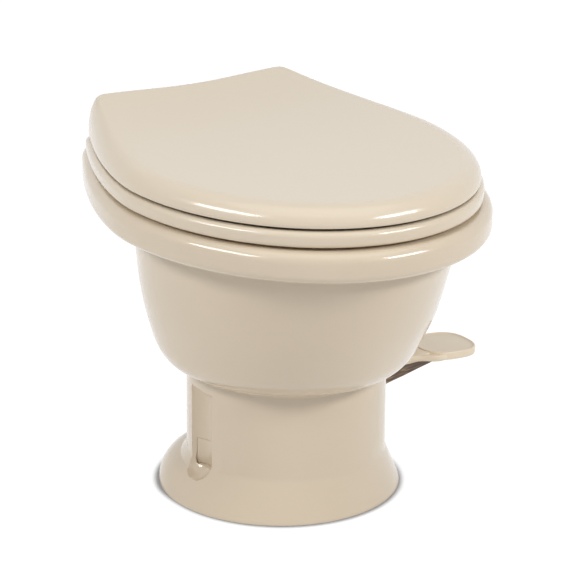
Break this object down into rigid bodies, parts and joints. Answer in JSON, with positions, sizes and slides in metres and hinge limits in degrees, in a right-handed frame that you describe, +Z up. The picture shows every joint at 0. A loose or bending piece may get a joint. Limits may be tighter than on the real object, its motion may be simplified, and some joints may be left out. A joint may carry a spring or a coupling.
{
  "type": "rv toilet",
  "caption": "Low-profile recreational-vehicle toilet: ceramic bowl on a round flared pedestal, closed seat and lid, side foot pedal that works a ball valve.",
  "frame": {"origin": "on the floor, under the middle of the toilet's whole outline seen from above", "axes": "+Z up, -Y towards the front of the bowl, +X towards the pedal's side"},
  "size_m": [0.4286, 0.48, 0.391],
  "materials": {
    "bone_ceramic": "glossy",
    "bone_plastic": "glossy",
    "black_plastic": "satin",
    "white_plastic": "satin",
    "rubber": "matte",
    "steel": "brushed"
  },
  "bodies": {
    "base": {"access_cover_left": "bone_plastic", "access_cover_right": "bone_plastic", "ball_seal": "rubber", "ball_shaft_bush_front": "white_plastic", "ball_shaft_bush_rear": "white_plastic", "bowl": "bone_ceramic", "cover_screw_left": "steel", "cover_screw_right": "steel", "floor_bolt_left": "steel", "floor_bolt_right": "steel", "floor_nut_left": "steel", "floor_nut_right": "steel", "floor_seal": "rubber", "half_clamp_front": "white_plastic", "half_clamp_rear": "white_plastic", "hinge_clip_left": "steel", "hinge_clip_right": "steel", "hinge_pin_left": "steel", "hinge_pin_right": "steel", "hinge_post_left": "bone_plastic", "hinge_post_right": "bone_plastic", "inlet_nut": "white_plastic", "pedal_shaft_bush_front": "white_plastic", "pedal_shaft_bush_rear": "white_plastic", "pedestal": "bone_ceramic", "rear_cover": "bone_plastic", "rinse_hose": "rubber", "seat_bolt_left": "white_plastic", "seat_bolt_right": "white_plastic", "spray_nozzle": "black_plastic", "vacuum_breaker": "black_plastic", "valve_body": "black_plastic", "water_valve": "black_plastic", "wing_nut_left": "white_plastic", "wing_nut_right": "white_plastic"},
    "seat_body": {"seat": "bone_plastic", "seat_bumper_front_left": "rubber", "seat_bumper_front_right": "rubber", "seat_bumper_left": "rubber", "seat_bumper_right": "rubber"},
    "lid_body": {"lid": "bone_plastic", "lid_bumper_left": "rubber", "lid_bumper_right": "rubber"},
    "pedal_body": {"pedal": "bone_plastic", "pedal_shaft": "steel", "pedal_shaft_clip_front": "steel", "pedal_shaft_clip_rear": "steel", "pedal_spacer_middle": "white_plastic", "pedal_spacer_rear": "white_plastic", "pedal_spring": "steel", "sector_gear": "white_plastic", "valve_cam": "white_plastic"},
    "ball_body": {"flush_ball": "white_plastic", "ball_shaft": "steel", "ball_pivot": "steel", "ball_shaft_clip": "steel", "ball_gear": "white_plastic"},
    "plunger_body": {"valve_plunger": "steel"}
  },
  "joints": [
    {"name": "seat_hinge", "type": "hinge", "parent": "base", "child": "seat_body", "pos_m": [-0.02207, 0.231, 0.3545], "axis": [-1, 0, 0], "range_deg": [0, 92]},
    {"name": "lid_hinge", "type": "hinge", "parent": "seat_body", "child": "lid_body", "pos_m": [-0.02207, 0.231, 0.3545], "axis": [-1, 0, 0], "range_deg": [0, 93]},
    {"name": "pedal_press", "type": "hinge", "parent": "base", "child": "pedal_body", "pos_m": [0.04543, -0.005, 0.084], "axis": [0, 1, 0], "range_deg": [0, 32], "stiffness_Nm_per_rad": 3, "springref_deg": -22.92},
    {"name": "ball_turn", "type": "hinge", "parent": "base", "child": "ball_body", "pos_m": [-0.02207, -0.005, 0.084], "axis": [0, 1, 0], "range_deg": [-65, 0]},
    {"name": "plunger_slide", "type": "slide", "parent": "base", "child": "plunger_body", "axis": [-1, 0, 0], "range_m": [0, 0.0031]}
  ],
  "couplings": [
    {"joint": "ball_turn", "follows": "pedal_press", "ratio": -2},
    {"joint": "plunger_slide", "follows": "pedal_press", "m_per_rad": 0.005371}
  ]
}
